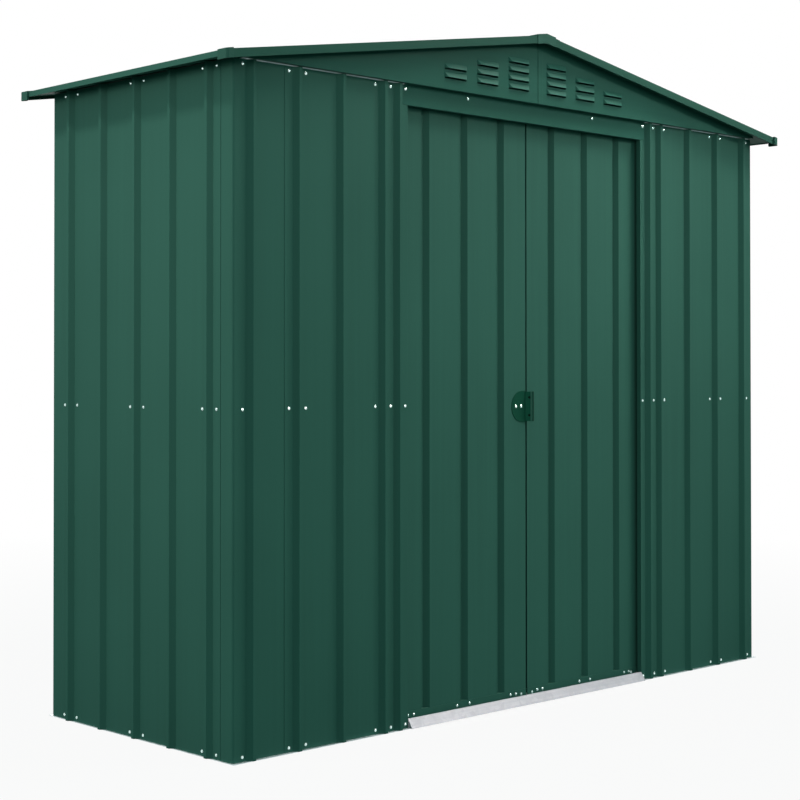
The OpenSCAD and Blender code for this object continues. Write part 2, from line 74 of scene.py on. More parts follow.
# The nodes that each finish covers
UPRIGHT_SHEETS = ("front_left_corner", "front_right_corner", "back_left_corner", "back_right_corner",
                  "front_left_panel", "front_right_panel", "left_panel_front", "left_panel_back",
                  "right_panel_front", "right_panel_back", "back_panel_left", "back_panel_middle",
                  "back_panel_right", "door_jamb_left", "door_jamb_right")
LEVEL_SHEETS = ("door_header", "front_gable_left", "front_gable_right",
                "back_gable_left", "back_gable_right")
DOOR_SHEETS = ("left_door_panel", "right_door_panel")
DOOR_RAILS = ("left_door_rails", "right_door_rails")
DOOR_PULL = ("left_door_handle",)
GLIDERS = ("left_door_gliders", "right_door_gliders")
SLOPE_SHEETS = ("roof_panel_left", "roof_panel_right")
# The verge trims are kept apart from the roof so that they take a darker copy of its paint, as painted
# shade
VERGE_TRIMS = ("verge_trims_front", "verge_trims_back")
RIDGE_SHEETS = ("ridge_cap", "eave_trim_left", "eave_trim_right")
MOULDED_CAPS = ("roof_corner_caps", "apex_caps")
ZINC_RAILS = ("base_rail_front", "base_rail_back", "base_rail_left", "base_rail_right",
              "lower_door_track", "upper_door_track", "mid_rail_left", "mid_rail_right", "mid_rail_back",
              "mid_rails_front", "top_rail_front", "top_rail_back", "ridge_beam")
# The side top rails lie in the shade under the eaves: their zinc is painted dark, as painted shade
EAVE_SHADED_RAILS = ("top_rail_left", "top_rail_right")
SILL = ("door_sill",)

# Sizes of the solids that their boxes don't give, in metres
RIB_H = 0.014
SHEET_T = 0.001
GABLE_OUT = 0.022
SEAM_W = 0.0012
FIN_L = 0.021
BEAD_R = 0.0045
RECESS_R = 0.0035
RECESS_Z = 0.026
# The slant of the pull's fin, and where its recesses lie as a share of its length
FIN_SLANT = math.radians(50)
RECESS_AT = 0.6

# Places taken from the frame, in metres
CORNER_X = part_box("front_left_corner")[0].x
FRONT_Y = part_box("front_left_corner")[0].y + RIB_H
BACK_Y = -FRONT_Y
WALL_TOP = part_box("front_left_corner")[1].z
MID_Z = (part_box("mid_rail_left")[0].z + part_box("mid_rail_left")[1].z) / 2
GABLE_LOW, GABLE_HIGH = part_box("front_gable_left")
RIDGE_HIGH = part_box("ridge_cap")[1]
EAVE_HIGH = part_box("eave_trim_right")[1]
SILL_LOW, SILL_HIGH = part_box("door_sill")
MEETING_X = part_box("right_door_panel")[0].x
DOOR_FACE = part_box("left_door_panel")[0].y
DOOR_RAIL_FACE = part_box("left_door_rails")[0].y
HANDLE_LOW, HANDLE_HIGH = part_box("left_door_handle")
HANDLE_Z = (HANDLE_LOW.z + HANDLE_HIGH.z) / 2


def shade(red, green, blue):
    """A screen colour of 0 to 255 parts as fractions of one."""
    return (red / 255, green / 255, blue / 255)


class ShedFinish(PropertyGroup):
    """Colours and gloss of the shed's finishes."""

    wall_green: FloatVectorProperty(
        name="Wall green", description="Baked paint of the walls", subtype="COLOR_GAMMA",
        size=3, min=0, max=1, default=shade(45, 86, 75))
    # A darker copy of the wall paint, as painted shade under the overhangs on the gables and header
    gable_shaded_green: FloatVectorProperty(
        name="Gable green", description="Baked paint of the gables and header", subtype="COLOR_GAMMA",
        size=3, min=0, max=1, default=shade(38, 82, 71))
    door_green: FloatVectorProperty(
        name="Door green", description="Baked paint of the doors", subtype="COLOR_GAMMA",
        size=3, min=0, max=1, default=shade(45, 86, 75))
    roof_green: FloatVectorProperty(
        name="Roof green", description="Baked paint of the roof, ridge and eaves", subtype="COLOR_GAMMA",
        size=3, min=0, max=1, default=shade(45, 86, 75))
    # A darker copy of the roof paint, as painted shade on the verge trims
    verge_shaded_green: FloatVectorProperty(
        name="Verge green", description="Baked paint of the verge trims", subtype="COLOR_GAMMA",
        size=3, min=0, max=1, default=shade(39, 77, 66))
    cap_green: FloatVectorProperty(
        name="Cap green", description="Colour of the corner and apex caps", subtype="COLOR_GAMMA",
        size=3, min=0, max=1, default=shade(41, 81, 70))
    handle_green: FloatVectorProperty(
        name="Handle green", description="Paint of the door pull", subtype="COLOR_GAMMA",
        size=3, min=0, max=1, default=shade(12, 62, 47))
    # Colour of the painted highlight along the pull's bead
    bead_highlight_green: FloatVectorProperty(
        name="Grip green", description="Line rubbed pale along the pull's bead", subtype="COLOR_GAMMA",
        size=3, min=0, max=1, default=shade(66, 110, 97))
    rail_zinc: FloatVectorProperty(
        name="Rail zinc", description="Galvanised rails and tracks", subtype="COLOR_GAMMA",
        size=3, min=0, max=1, default=shade(208, 222, 224))
    # Zinc painted dark as painted shade, for the side rails under the eaves
    eave_shaded_zinc: FloatVectorProperty(
        name="Dull zinc", description="Dull side rails under the eaves", subtype="COLOR_GAMMA",
        size=3, min=0, max=1, default=shade(62, 72, 69))
    sill_zinc: FloatVectorProperty(
        name="Sill zinc", description="Galvanised sill ramp", subtype="COLOR_GAMMA",
        size=3, min=0, max=1, default=shade(161, 168, 173))
    glider_black: FloatVectorProperty(
        name="Glider black", description="Moulded nylon of the door gliders", subtype="COLOR_GAMMA",
        size=3, min=0, max=1, default=shade(38, 40, 40))
    seal_green: FloatVectorProperty(
        name="Seal green", description="Sealing strips in the gables' seams", subtype="COLOR_GAMMA",
        size=3, min=0, max=1, default=shade(20, 52, 43))
    screw_bright: FloatVectorProperty(
        name="Screw plating", description="Bright zinc plating of the screws", subtype="COLOR_GAMMA",
        size=3, min=0, max=1, default=shade(226, 250, 246))
    paint_gloss: FloatProperty(
        name="Paint reflection", description="Strength of the reflection of the baked paint",
        subtype="FACTOR", min=0, max=1, default=0.015)
    bend_radius: FloatProperty(
        name="Bend radius", description="Softness of the folds in the sheet", unit="LENGTH",
        min=0, max=0.005, default=0.001)


class ShedScrews(PropertyGroup):
    """Sizes of the screws and the rows that they stand in."""

    washer_d: FloatProperty(
        name="Flange diameter", description="Diameter of the flange under a screw head", unit="LENGTH",
        min=0.004, max=0.02, default=0.0084)
    head_d: FloatProperty(
        name="Head diameter", description="Diameter of the domed head", unit="LENGTH",
        min=0.003, max=0.016, default=0.0066)
    head_h: FloatProperty(
        name="Head height", description="Height of the head over the sheet", unit="LENGTH",
        min=0.001, max=0.005, default=0.0026)
    steps: IntProperty(
        name="Facets", description="Facets round a screw head", subtype="UNSIGNED",
        min=8, max=32, default=12)
    low_row: FloatProperty(
        name="Low row", description="Height of the row through the base rails", unit="LENGTH",
        min=0.005, max=0.02, default=0.013)
    top_row: FloatProperty(
        name="Top row", description="Distance of the top row below the wall's edge", unit="LENGTH",
        min=0.005, max=0.025, default=0.0115)
    door_row: FloatProperty(
        name="Door row", description="Height of the row through the doors' bottom rails", unit="LENGTH",
        min=0.02, max=0.04, default=0.028)
    guide_row: FloatProperty(
        name="Guide row", description="Height of the screws that hold the doors' gliders", unit="LENGTH",
        min=0.015, max=0.04, default=0.0242)


class ShedStudio(PropertyGroup):
    """Camera and light."""

    lens: FloatProperty(
        name="Lens", description="Focal length of the camera", unit="CAMERA",
        min=20, max=200, default=75.97)
    shift: FloatVectorProperty(
        name="Shift", description="Sideways and upward shift of the lens", subtype="XYZ",
        size=2, default=(0.0806, -0.0689))
    place: FloatVectorProperty(
        name="Camera place", description="Where the camera stands", subtype="TRANSLATION", unit="LENGTH",
        size=3, default=(-3.7737, -3.6222, 0.9796))
    turn: FloatProperty(
        name="Camera turn", description="Turn of the camera to the right of straight on", unit="ROTATION",
        default=math.radians(42.831))
    tilt: FloatProperty(
        name="Camera tilt", description="Upward tilt of the camera", unit="ROTATION",
        default=math.radians(0.7206))
    light: FloatProperty(
        name="Light", description="Share of the lamps' usual power", subtype="FACTOR",
        min=0, max=4, default=0.97)
    sky: FloatProperty(
        name="Sky", description="Strength of the even light from all round", subtype="FACTOR",
        min=0, max=2, default=0.63)
    floor_tone: FloatVectorProperty(
        name="Floor", description="Colour that the floor throws back on the shed", subtype="COLOR_GAMMA",
        size=3, min=0, max=1, default=shade(88, 117, 113))


def linear(colour):
    """A screen colour as the light values that the shaders take, with full alpha."""
    parts = [c / 12.92 if c <= 0.04045 else ((c + 0.055) / 1.055) ** 2.4 for c in colour]
    return (*parts, 1.0)


def tinted(colour, share):
    """A colour with every part raised or lowered by a share of itself."""
    return tuple(min(1.0, c * share) for c in colour[:3]) + (1.0,)


def add(tree, kind, inputs=None, **settings):
    """A shader node with its settings, whose inputs take values or other nodes' sockets."""
    made = tree.nodes.new(kind)
    for name, value in settings.items():
        setattr(made, name, value)
    for name, value in (inputs or {}).items():
        if isinstance(value, bpy.types.NodeSocket):
            tree.links.new(value, made.inputs[name])
        else:
            made.inputs[name].default_value = value
    return made


def worked(tree, operation, first, second):
    """The result of one operation on two values."""
    return add(tree, "ShaderNodeMath", {0: first, 1: second}, operation=operation).outputs[0]


def measured(tree, operation, *vectors):
    """The one number that an operation on vectors gives."""
    inputs = dict(enumerate(vectors))
    return add(tree, "ShaderNodeVectorMath", inputs, operation=operation).outputs["Value"]


def object_place(tree, stretch=(1, 1, 1)):
    """Object coordinates, stretched along the axes."""
    place = add(tree, "ShaderNodeTexCoord").outputs["Object"]
    return add(tree, "ShaderNodeMapping", {"Vector": place, "Scale": stretch}).outputs["Vector"]


def from_middle(tree, place):
    """How far a place lies from the middle, along each axis."""
    sides = add(tree, "ShaderNodeVectorMath", {0: place}, operation="ABSOLUTE").outputs["Vector"]
    return add(tree, "ShaderNodeSeparateXYZ", {"Vector": sides}).outputs


def grain(tree, place, scale, detail=2.0):
    """Noise of so many waves to the metre."""
    return add(tree, "ShaderNodeTexNoise", {"Vector": place, "Scale": scale, "Detail": detail}).outputs[0]


def ranged(tree, value, low, high, out_low, out_high):
    """A value spread from one range to another."""
    return add(tree, "ShaderNodeMapRange", {
        "Value": value, "From Min": low, "From Max": high, "To Min": out_low, "To Max": out_high,
    }).outputs["Result"]


def blended(tree, share, first, second):
    """Two colours, or colour sockets, mixed by a share."""
    return add(tree, "ShaderNodeMix", {0: share, 6: first, 7: second}, data_type="RGBA").outputs[2]


def flat_normal(tree):
    """The surface's own normal."""
    return add(tree, "ShaderNodeNewGeometry").outputs["Normal"]


def bumped(tree, height, strength, distance, normal):
    """A normal with a height laid over it."""
    return add(tree, "ShaderNodeBump", {
        "Height": height, "Strength": strength, "Distance": distance, "Normal": normal,
    }).outputs["Normal"]


def new_material(name):
    """An empty node material and its tree."""
    made = bpy.data.materials.new(name)
    made.use_nodes = True
    made.node_tree.nodes.clear()
    return made, made.node_tree


def shown(tree, shader):
    """Puts a shader on the surface."""
    add(tree, "ShaderNodeOutputMaterial", {"Surface": shader.outputs[0]})


# How well the soft and the flat normal agree away from a fold and on one, and the rays that feel for it
FLAT_MATCH = 0.99
FOLD_MATCH = 0.85
FOLD_SAMPLES = 4


def folds(tree, radius):
    """The normal with soft folds, and how near a point is to a fold."""
    soft = add(tree, "ShaderNodeBevel", {"Radius": radius}, samples=FOLD_SAMPLES).outputs["Normal"]
    match = measured(tree, "DOT_PRODUCT", soft, flat_normal(tree))
    return soft, ranged(tree, match, FLAT_MATCH, FOLD_MATCH, 0.0, 1.0)


# Painted light on a hood, which faces up into the light: where it starts and is full,
# in metres out of the gable's face, and its multiple of the gable's colour
HOOD_LOW = 0.002
HOOD_HIGH = 0.006
HOOD_PAINTED_LIGHT = 1.35
# Painted shade on the edge of a door, where the gap between the doors lies in shadow: where it starts to
# fade and is gone, in metres from the edge itself, and its multiple of the door's colour
MEETING_LOW = 0.0005
MEETING_HIGH = 0.001
MEETING_SHADE = 0.25


def painted_hood_light(tree, tone, base):
    """A gable's tone with painted light on the louvre hoods, which stand out of the flat sheet and face up
    into the light.
    """
    out = from_middle(tree, object_place(tree))["Y"]
    face = GABLE_OUT - FRONT_Y
    hood = ranged(tree, out, face + HOOD_LOW, face + HOOD_HIGH, 0.0, 1.0)
    return blended(tree, hood, tone, tinted(base, HOOD_PAINTED_LIGHT))


def painted_meeting_shade(tree, tone, base):
    """A door's tone with painted shade on the edge that meets the other door, where the gap lies in shadow.
    """
    across = from_middle(tree, object_place(tree))["X"]
    edge = ranged(tree, across, MEETING_X + MEETING_LOW, MEETING_X + MEETING_HIGH, 1.0, 0.0)
    return blended(tree, edge, tone, tinted(base, MEETING_SHADE))


# Waves to the metre in the painted sheet: mill lines by the way it was rolled, tone drift and peel
MILL_UP = (70, 70, 1.1)
MILL_ACROSS = (1.1, 70, 70)
MILL_BACK = (70, 1.1, 70)
DRIFT_WAVES = 1.7
PEEL_WAVES = 620.0
# Slow buckles in it: their share of the mill lines' waves, and the waves that they have at least
BUCKLE_SHARE = 0.03
BUCKLE_LEAST = 0.4


def baked_paint(name, colour, rolled, finish, marks=None):
    """Satin paint baked on rolled steel: mill lines along the roll, tone drift, fine peel, light folds that
    are partly wear and partly painted highlight, and any painted light or shade passed in.
    """
    made, tree = new_material(name)
    base = linear(colour)
    mill = grain(tree, object_place(tree, rolled), 1.0, 3.0)
    drift = grain(tree, object_place(tree), DRIFT_WAVES, 3.0)
    peel = grain(tree, object_place(tree), PEEL_WAVES, 1.0)
    buckled = tuple(BUCKLE_SHARE * r + BUCKLE_LEAST for r in rolled)
    waves = grain(tree, object_place(tree, buckled), 1.0, 1.0)
    soft, edge = folds(tree, finish.bend_radius)
    tone = blended(tree, ranged(tree, drift, 0.3, 0.7, 0.0, 1.0), tinted(base, 0.94), tinted(base, 1.06))
    # Painted light or shade passed in, such as on the louvre hoods or the doors' meeting edges
    if marks:
        tone = marks(tree, tone, base)
    lined = blended(tree, ranged(tree, mill, 0.35, 0.75, 0.0, 0.5), tone, tinted(base, 1.12))
    # Light folds: partly paint worn thin, partly a painted highlight
    worn_and_highlit = blended(tree, ranged(tree, edge, 0.0, 1.0, 0.0, 0.35), lined, tinted(base, 1.35))
    surface = add(tree, "ShaderNodeBsdfPrincipled", {
        "Base Color": worn_and_highlit,
        "Roughness": ranged(tree, mill, 0.3, 0.7, 0.36, 0.46),
        "Specular IOR Level": finish.paint_gloss,
        "Normal": bumped(tree, peel, 0.06, 0.0004, bumped(tree, waves, 0.2, 0.006, soft)),
    })
    shown(tree, surface)
    return made


def painted_grip_light(tree, tone, base, finish):
    """The pull's tone: painted light along its fin, a painted highlight and shadow on the bead, and painted
    shade in the recesses.
    """
    slant = Vector((math.cos(FIN_SLANT), -math.sin(FIN_SLANT), 0.0))
    centre = Vector((HANDLE_HIGH.x - BEAD_R, HANDLE_LOW.y + BEAD_R, HANDLE_Z))
    bead = slant.dot(centre)
    place = object_place(tree)
    along = measured(tree, "DOT_PRODUCT", place, slant)
    fin = ranged(tree, along, bead - FIN_L, bead - 0.8 * FIN_L, 0.0, 1.0)
    rise = ranged(tree, along, bead - 1.2 * BEAD_R, bead - BEAD_R, 0.0, 1.0)
    fall = ranged(tree, along, bead - 0.1 * BEAD_R, bead + 0.1 * BEAD_R, 1.0, 0.0)
    line = worked(tree, "MULTIPLY", rise, fall)
    beyond = ranged(tree, along, bead + 0.1 * BEAD_R, bead + 0.2 * BEAD_R, 0.0, 1.0)
    # Painted light along the fin, and a painted highlight on the near side of the bead
    painted_fin_light = blended(tree, line, blended(tree, fin, tone, tinted(base, 1.5)), linear(finish.bead_highlight_green))
    # Painted shadow beyond the bead
    shaded = blended(tree, beyond, painted_fin_light, tinted(base, 0.5))
    # Painted shade in the fin's two recesses
    for z in (-RECESS_Z, RECESS_Z):
        recess = centre - (1 - RECESS_AT) * FIN_L * slant + Vector((0.0, 0.0, z))
        near = measured(tree, "DISTANCE", place, recess)
        hollow = ranged(tree, near, RECESS_R, 1.2 * RECESS_R, 1.0, 0.0)
        shaded = blended(tree, hollow, shaded, tinted(base, 0.2))
    return shaded


# Waves to the metre in moulded plastic, and how strongly it and the nylon reflect
SPARK_WAVES = 900.0
BLOTCH_WAVES = 9.0
PLASTIC_GLOSS = 0.03
NYLON_GLOSS = 0.35


def moulded_plastic(name, colour, finish, gloss=PLASTIC_GLOSS, grip=False):
    """Moulded plastic or thick paint with a fine spark grain, light edges that are partly wear and partly
    painted highlight, and painted light and shade on the fin where it is a grip.
    """
    made, tree = new_material(name)
    base = linear(colour)
    spark = grain(tree, object_place(tree), SPARK_WAVES, 2.0)
    blotch = grain(tree, object_place(tree), BLOTCH_WAVES, 2.0)
    soft, edge = folds(tree, finish.bend_radius / 2)
    tone = blended(tree, blotch, tinted(base, 0.9), tinted(base, 1.1))
    if grip:
        tone = painted_grip_light(tree, tone, base, finish)
    # Light edges: partly worn, partly a painted highlight
    worn_and_highlit = blended(tree, ranged(tree, edge, 0.0, 1.0, 0.0, 0.3), tone, tinted(base, 1.4))
    surface = add(tree, "ShaderNodeBsdfPrincipled", {
        "Base Color": worn_and_highlit,
        "Roughness": ranged(tree, spark, 0.3, 0.7, 0.38, 0.52),
        "Specular IOR Level": gloss,
        "Normal": bumped(tree, spark, 0.1, 0.0003, soft),
    })
    shown(tree, surface)
    return made


# Zinc: crystals and waves to the metre, roll lines along the axes, and how metallic each one is
CRYSTALS = 85.0
DULL_WAVES = 14.0
RAIL_LINES = (60, 60, 60)
SILL_LINES = (2, 160, 160)
RAIL_METAL = 0.8
# The side rails under the eaves are less metallic, as part of their painted shade
EAVE_SHADED_METAL = 0.3
SILL_METAL = 0.6


def bare_zinc(name, colour, rolled, metal):
    """Hot-dip zinc: crystals of differing brightness, faint roll lines and dull patches."""
    made, tree = new_material(name)
    base = linear(colour)
    crystal = add(tree, "ShaderNodeTexVoronoi", {"Vector": object_place(tree), "Scale": CRYSTALS})
    flake = add(tree, "ShaderNodeSeparateColor", {"Color": crystal.outputs["Color"]}).outputs["Red"]
    lines = grain(tree, object_place(tree, rolled), 1.0, 2.0)
    dull = grain(tree, object_place(tree), DULL_WAVES, 3.0)
    spangled = blended(tree, flake, tinted(base, 0.9), tinted(base, 1.06))
    lined = blended(tree, ranged(tree, lines, 0.4, 0.7, 0.0, 0.4), spangled, tinted(base, 0.84))
    rough = ranged(tree, flake, 0.0, 1.0, 0.34, 0.5)
    surface = add(tree, "ShaderNodeBsdfPrincipled", {
        "Base Color": lined,
        "Metallic": metal,
        "Roughness": worked(tree, "ADD", rough, ranged(tree, dull, 0.3, 0.7, -0.04, 0.08)),
        "Normal": bumped(tree, lines, 0.05, 0.0004, flat_normal(tree)),
    })
    shown(tree, surface)
    return made


# Waves to the metre in the screws' plating
SPOT_WAVES = 380.0
TURNING_WAVES = 2600.0


def bright_plating(name, colour):
    """Bright zinc plating on a screw, with fine turning marks and dull spots."""
    made, tree = new_material(name)
    base = linear(colour)
    spots = grain(tree, object_place(tree), SPOT_WAVES, 2.0)
    turning = grain(tree, object_place(tree), TURNING_WAVES, 1.0)
    surface = add(tree, "ShaderNodeBsdfPrincipled", {
        "Base Color": blended(tree, spots, tinted(base, 0.94), base),
        "Metallic": 1.0,
        "Roughness": ranged(tree, spots, 0.3, 0.7, 0.12, 0.26),
        "Normal": bumped(tree, turning, 0.08, 0.0002, flat_normal(tree)),
    })
    shown(tree, surface)
    return made


def screw_plating():
    """The screws' material, made once."""
    found = bpy.data.materials.get("screw_plating")
    return found or bright_plating("screw_plating", bpy.context.scene.shed_finish.screw_bright)


def paint_nodes(names, material):
    """Gives CAD nodes one material."""
    for name in names:
        slots = NODES[name].data.materials
        slots.clear()
        slots.append(material)


def new_object(name, work, material):
    """A finished bmesh as an object of one material."""
    made = bpy.data.meshes.new(name)
    work.to_mesh(made)
    work.free()
    made.materials.append(material)
    thing = bpy.data.objects.new(name, made)
    bpy.context.scene.collection.objects.link(thing)
    return thing


def new_piece(name, work, material, body):
    """A finished bmesh as a piece that rides on a body."""
    piece = new_object(name, work, material)
    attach(piece, body)
    return piece


# How far outside a sheet the search for a screw's seat starts, in metres: on a wall, and behind the sill.
# It goes on for a number of such reaches
WALL_REACH = 0.04
SILL_REACH = 0.012
SEARCH_SPAN = 4
# Points of a screw that lie nearer to each other than this, in metres, are one
MERGE_D = 1e-6


def screw_mesh(sizes):
    """One flanged screw head with a round drive recess, standing on the ground plane and facing up."""
    wide, head, high = sizes.washer_d / 2, sizes.head_d / 2, sizes.head_h
    flange = 0.25 * high
    recess = 0.34 * head
    outline = ((wide, 0.0), (wide, 0.6 * flange), (0.92 * wide, flange), (head, 1.1 * flange),
               (0.94 * head, 0.6 * high), (0.66 * head, 0.92 * high), (recess, high),
               (0.9 * recess, 0.55 * high), (0.0, 0.5 * high))
    work = bmesh.new()
    points = [work.verts.new((r, 0.0, z)) for r, z in outline]
    for first, second in zip(points, points[1:]):
        work.edges.new((first, second))
    bmesh.ops.spin(work, geom=work.verts[:] + work.edges[:], axis=(0, 0, 1), cent=(0, 0, 0),
                   angle=math.tau, steps=sizes.steps, use_merge=True)
    bmesh.ops.remove_doubles(work, verts=work.verts[:], dist=MERGE_D)
    rim = [e for e in work.edges if e.is_boundary]
    bmesh.ops.contextual_create(work, geom=rim)
    bmesh.ops.recalc_face_normals(work, faces=work.faces[:])
    made = bpy.data.meshes.new("screw_head")
    work.to_mesh(made)
    work.free()
    return made


def seat(point, outward, reach):
    """The first surface met from outside a point, the way that it faces and the body that it is on."""
    hit, where, facing, _, carrier, _ = bpy.context.scene.ray_cast(
        bpy.context.evaluated_depsgraph_get(), point + outward * reach, -outward,
        distance=SEARCH_SPAN * reach)
    if not hit:
        raise RuntimeError(f"no sheet carries a screw at {tuple(round(c, 4) for c in point)}")
    return where, facing, carrier["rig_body"]


def drive_screws(name, places, reach=WALL_REACH):
    """One piece holding a screw at each place, riding on the one body that carries them all."""
    template = screw_mesh(bpy.context.scene.shed_screws)
    work = bmesh.new()
    bodies = set()
    for point, outward in places:
        where, facing, body = seat(Vector(point), Vector(outward), reach)
        bodies.add(body)
        start = len(work.verts)
        work.from_mesh(template)
        work.verts.ensure_lookup_table()
        turn = facing.to_track_quat("Z", "Y").to_matrix().to_4x4()
        bmesh.ops.transform(work, matrix=Matrix.Translation(where) @ turn, verts=work.verts[start:])
    if len(bodies) != 1:
        raise RuntimeError(f"{name} would ride on {sorted(bodies)}")
    bpy.data.meshes.remove(template)
    piece = new_piece(name, work, screw_plating(), bodies.pop())


class SHED_OT_walls(Operator):
    """Paint the walls, gables and header"""

    bl_idname = "shed.walls"
    bl_label = "Paint Walls"

    def execute(self, context):
        finish = context.scene.shed_finish
        upright = baked_paint("wall_paint", finish.wall_green, MILL_UP, finish)
        # The gables and header take the darker, shaded copy of the paint, with painted light on the louvre
        # hoods
        level = baked_paint("gable_paint", finish.gable_shaded_green, MILL_ACROSS, finish, painted_hood_light)
        paint_nodes(UPRIGHT_SHEETS, upright)
        paint_nodes(LEVEL_SHEETS, level)
        return {"FINISHED"}


class SHED_OT_doors(Operator):
    """Paint the doors and their pull"""

    bl_idname = "shed.doors"
    bl_label = "Paint Doors"

    def execute(self, context):
        finish = context.scene.shed_finish
        # The doors' sheets carry painted shade along their meeting edges
        sheet = baked_paint("door_paint", finish.door_green, MILL_UP, finish, painted_meeting_shade)
        rail = baked_paint("door_rail_paint", finish.door_green, MILL_ACROSS, finish)
        # The pull carries painted light and shade on its fin, bead and recesses
        pull = moulded_plastic("handle_paint", finish.handle_green, finish, grip=True)
        nylon = moulded_plastic("glider_nylon", finish.glider_black, finish, NYLON_GLOSS)
        paint_nodes(DOOR_SHEETS, sheet)
        paint_nodes(DOOR_RAILS, rail)
        paint_nodes(DOOR_PULL, pull)
        paint_nodes(GLIDERS, nylon)
        return {"FINISHED"}


class SHED_OT_roof(Operator):
    """Paint the roof, its trims and its caps"""

    bl_idname = "shed.roof"
    bl_label = "Paint Roof"

    def execute(self, context):
        finish = context.scene.shed_finish
        paint_nodes(SLOPE_SHEETS, baked_paint("roof_paint", finish.roof_green, MILL_ACROSS, finish))
        # The verge trims take the darker, shaded copy of the roof paint, as painted shade
        paint_nodes(VERGE_TRIMS, baked_paint("verge_paint", finish.verge_shaded_green, MILL_ACROSS, finish))
        paint_nodes(RIDGE_SHEETS, baked_paint("trim_paint", finish.roof_green, MILL_BACK, finish))
        paint_nodes(MOULDED_CAPS, moulded_plastic("cap_plastic", finish.cap_green, finish))
        return {"FINISHED"}


class SHED_OT_rails(Operator):
    """Give the rails, tracks and sill their zinc"""

    bl_idname = "shed.rails"
    bl_label = "Zinc Rails"

    def execute(self, context):
        finish = context.scene.shed_finish
        paint_nodes(ZINC_RAILS, bare_zinc("rail_zinc", finish.rail_zinc, RAIL_LINES, RAIL_METAL))
        # Side rails under the eaves: zinc painted dark, as painted shade
        paint_nodes(EAVE_SHADED_RAILS, bare_zinc("eave_shaded_zinc", finish.eave_shaded_zinc, RAIL_LINES, EAVE_SHADED_METAL))
        paint_nodes(SILL, bare_zinc("sill_zinc", finish.sill_zinc, SILL_LINES, SILL_METAL))
        return {"FINISHED"}


# Depth of a sealing strip, and its distance from the gable's lower and upper edge, in metres
SEAL_D = 0.012
SEAL_GAP = 0.0002


class SHED_OT_gable_seals(Operator):
    """Close the seams of the two gables with sealing strips"""

    bl_idname = "shed.gable_seals"
    bl_label = "Gable Seals"

    def execute(self, context):
        finish = context.scene.shed_finish
        size = Vector((SEAM_W, SEAL_D, GABLE_HIGH.z - GABLE_LOW.z - 2 * SEAL_GAP))
        depth = FRONT_Y - GABLE_OUT + SHEET_T + SEAL_D / 2
        work = bmesh.new()
        for side in (1, -1):
            middle = Vector((0.0, side * depth, (GABLE_LOW.z + GABLE_HIGH.z) / 2))
            bmesh.ops.create_cube(work, size=1.0, matrix=Matrix.LocRotScale(middle, None, size))
        strip = moulded_plastic("seal_strip", finish.seal_green, finish)
        seals = new_piece("gable_seals", work, strip, "shell")
        return {"FINISHED"}


# Screw columns of the walls, in metres from a corner
FRONT_COLUMNS = (0.0317, 0.184, 0.2419, 0.4905, 0.547, 0.603)
SIDE_COLUMNS = (0.0627, 0.1202, 0.369, 0.4256, 0.6748, 0.7322)
BACK_FIRST = 0.2129
BACK_STEP = 0.6114
BACK_LAPS = 4
LAP_SIDE = 0.0285
# Screw columns of the header, doors and pull, in metres from the middle
HEADER_COLUMNS = (0.277, 0.527)
LEFT_DOOR_COLUMNS = (-0.048, -0.071, -0.2455, -0.297, -0.47, -0.4935)
RIGHT_DOOR_COLUMNS = (0.048, 0.071, 0.242, 0.2935, 0.461, 0.4845)
LEFT_GUIDE_COLUMNS = (-0.024,)
RIGHT_GUIDE_COLUMNS = (0.024, 0.4965)
PULL_COLUMNS = (-0.046, -0.023)
# Ways that screws face
FORWARD = (0, -1, 0)
BACKWARD = (0, 1, 0)
UPWARD = (0, 0, 1)


def rows_of(points, heights, outward):
    """A place at each point of the plan and each height, with the way that its screw faces."""
    return [((x, y, z), outward) for x, y in points for z in heights]


class SHED_OT_wall_screws(Operator):
    """Drive the rows of screws in the four walls"""

    bl_idname = "shed.wall_screws"
    bl_label = "Wall Screws"

    def execute(self, context):
        sizes = context.scene.shed_screws
        top = WALL_TOP - sizes.top_row
        heights = (sizes.low_row, MID_Z, top)
        front = [(x, FRONT_Y) for c in FRONT_COLUMNS for x in (CORNER_X + c, -CORNER_X - c)]
        drive_screws("front_wall_screws", rows_of(front, heights, FORWARD))
        for name, side in (("left_wall_screws", 1), ("right_wall_screws", -1)):
            columns = [(side * CORNER_X, FRONT_Y + c) for c in SIDE_COLUMNS]
            drive_screws(name, rows_of(columns, heights, (-side, 0, 0)))
        back = [(side * (CORNER_X + FRONT_COLUMNS[0]), BACK_Y) for side in (1, -1)]
        for k in range(BACK_LAPS):
            lap = CORNER_X + BACK_FIRST + k * BACK_STEP
            back += [(lap - LAP_SIDE, BACK_Y), (lap + LAP_SIDE, BACK_Y)]
        drive_screws("back_wall_screws", rows_of(back, heights, BACKWARD))
        header = [(side * x, FRONT_Y) for x in HEADER_COLUMNS for side in (-1, 1)]
        drive_screws("header_screws", rows_of(header, (top,), FORWARD))
        return {"FINISHED"}


class SHED_OT_door_screws(Operator):
    """Drive the screws in the doors' bottom rails, gliders and pull"""

    bl_idname = "shed.door_screws"
    bl_label = "Door Screws"

    def execute(self, context):
        sizes = context.scene.shed_screws
        for name, columns, guides in (("left_door_screws", LEFT_DOOR_COLUMNS, LEFT_GUIDE_COLUMNS),
                                      ("right_door_screws", RIGHT_DOOR_COLUMNS, RIGHT_GUIDE_COLUMNS)):
            places = rows_of([(x, DOOR_RAIL_FACE) for x in columns], (sizes.door_row,), FORWARD)
            places += rows_of([(x, DOOR_RAIL_FACE) for x in guides], (sizes.guide_row,), FORWARD)
            drive_screws(name, places, SILL_REACH)
        pull = [(x, DOOR_FACE) for x in PULL_COLUMNS]
        drive_screws("handle_screws", rows_of(pull, (HANDLE_Z,), FORWARD))
        return {"FINISHED"}


